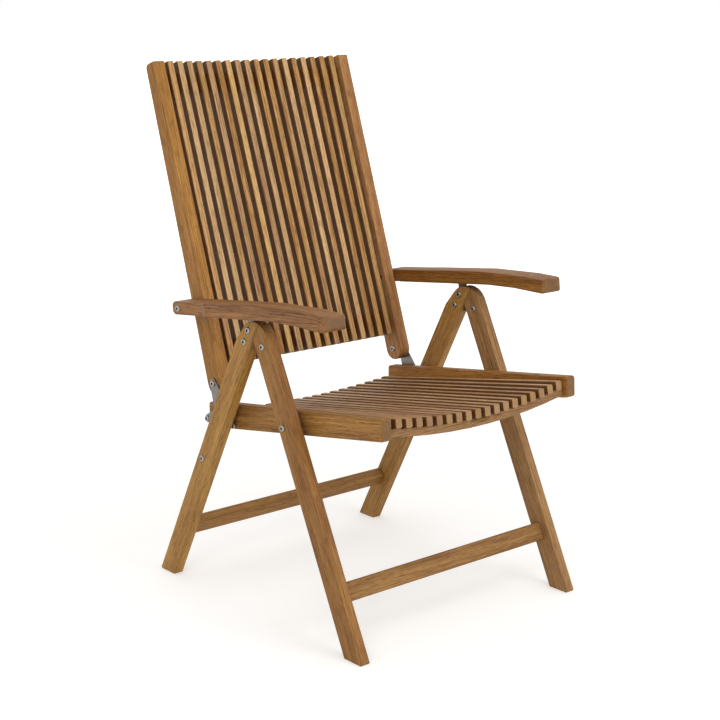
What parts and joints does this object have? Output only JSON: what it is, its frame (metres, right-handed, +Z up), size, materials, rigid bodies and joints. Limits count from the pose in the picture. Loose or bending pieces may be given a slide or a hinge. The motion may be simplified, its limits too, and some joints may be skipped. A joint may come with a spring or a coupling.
{
  "type": "folding teak armchair",
  "caption": "Folding outdoor armchair in teak with a high reclining slatted back, slatted seat, flat arms and scissor legs.",
  "frame": {"origin": "on the floor, under the middle of the chair's outer box as it stands open with the back upright", "axes": "+X across the chair towards the sitter's left hand, +Y to the rear of the chair, +Z up"},
  "size_m": [0.662, 0.7758, 1.1145],
  "materials": {
    "teak_legs": "sanded teak with a satin oil finish, light straight grain",
    "teak_rails": "sanded teak with a satin oil finish, mid brown",
    "teak_slats": "sanded teak slats, each a slightly different brown",
    "teak_arms": "sanded teak with a satin oil finish, mid brown with darker streaks",
    "stainless_steel": "satin stainless steel"
  },
  "bodies": {
    "front_frame": {"front_leg_left": "teak_legs", "front_leg_right": "teak_legs", "front_stretcher": "teak_rails"},
    "rear_frame": {"rear_leg_left": "teak_legs", "rear_leg_right": "teak_legs", "rear_stretcher": "teak_rails", "hinge_plate_left": "stainless_steel", "hinge_plate_right": "stainless_steel"},
    "links": {"leg_link_left": "stainless_steel", "leg_link_right": "stainless_steel"},
    "seat": {"seat_frame": "teak_rails", "back_bracket_left": "stainless_steel", "back_bracket_right": "stainless_steel", "seat_slat_01": "teak_slats", "seat_slat_02": "teak_slats", "seat_slat_03": "teak_slats", "seat_slat_04": "teak_slats", "seat_slat_05": "teak_slats", "seat_slat_06": "teak_slats", "seat_slat_07": "teak_slats", "seat_slat_08": "teak_slats", "seat_slat_09": "teak_slats", "seat_slat_10": "teak_slats", "seat_slat_11": "teak_slats", "seat_slat_12": "teak_slats", "seat_slat_13": "teak_slats", "seat_slat_14": "teak_slats", "seat_slat_15": "teak_slats", "seat_slat_16": "teak_slats", "seat_slat_17": "teak_slats", "seat_slat_18": "teak_slats"},
    "back_pivot": {"back_pivot_bolt_left": "stainless_steel", "back_pivot_bolt_right": "stainless_steel"},
    "backrest": {"back_stile_left": "teak_rails", "back_stile_right": "teak_rails", "back_rail_top": "teak_rails", "back_rail_bottom": "teak_rails", "back_slat_01": "teak_slats", "back_slat_02": "teak_slats", "back_slat_03": "teak_slats", "back_slat_04": "teak_slats", "back_slat_05": "teak_slats", "back_slat_06": "teak_slats", "back_slat_07": "teak_slats", "back_slat_08": "teak_slats", "back_slat_09": "teak_slats", "back_slat_10": "teak_slats", "back_slat_11": "teak_slats", "back_slat_12": "teak_slats", "back_slat_13": "teak_slats", "back_slat_14": "teak_slats", "back_slat_15": "teak_slats", "back_slat_16": "teak_slats", "back_slat_17": "teak_slats", "back_slat_18": "teak_slats"},
    "arm_pivot": {"arm_pivot_bolt_left": "stainless_steel", "arm_pivot_bolt_right": "stainless_steel"},
    "arms": {"armrest_left": "teak_arms", "armrest_right": "teak_arms"}
  },
  "joints": [
    {"name": "fold", "type": "hinge", "parent": "front_frame", "child": "rear_frame", "pos_m": [0, -0.06827, 0.577], "axis": [-1, 0, 0], "range_deg": [0, 52]},
    {"name": "link_swing", "type": "hinge", "parent": "rear_frame", "child": "links", "pos_m": [0, 0.14391, 0.29615], "axis": [-1, 0, 0], "range_deg": [0, 136]},
    {"name": "seat_fold", "type": "hinge", "parent": "front_frame", "child": "seat", "pos_m": [0, -0.13214, 0.42368], "axis": [-1, 0, 0], "range_deg": [0, 90.5]},
    {"name": "back_fold", "type": "hinge", "parent": "seat", "child": "back_pivot", "pos_m": [0, 0.14889, 0.45306], "axis": [-1, 0, 0], "range_deg": [-82.5, 0]},
    {"name": "recline", "type": "hinge", "parent": "back_pivot", "child": "backrest", "pos_m": [0, 0.14889, 0.45306], "axis": [-1, 0, 0], "range_deg": [0, 40]},
    {"name": "arm_recline", "type": "hinge", "parent": "backrest", "child": "arm_pivot", "pos_m": [0, 0.19246, 0.61525], "axis": [-1, 0, 0], "range_deg": [-30.5, 0]},
    {"name": "arm_fold", "type": "hinge", "parent": "arm_pivot", "child": "arms", "pos_m": [0, 0.19246, 0.61525], "axis": [-1, 0, 0], "range_deg": [0, 102]}
  ],
  "couplings": [
    {"joint": "link_swing", "follows": "fold", "ratio": 2.604},
    {"joint": "seat_fold", "follows": "fold", "ratio": 1.7308},
    {"joint": "back_fold", "follows": "fold", "ratio": -1.577},
    {"joint": "arm_fold", "follows": "fold", "ratio": 1.95},
    {"joint": "arm_recline", "follows": "recline", "ratio": -0.743}
  ]
}
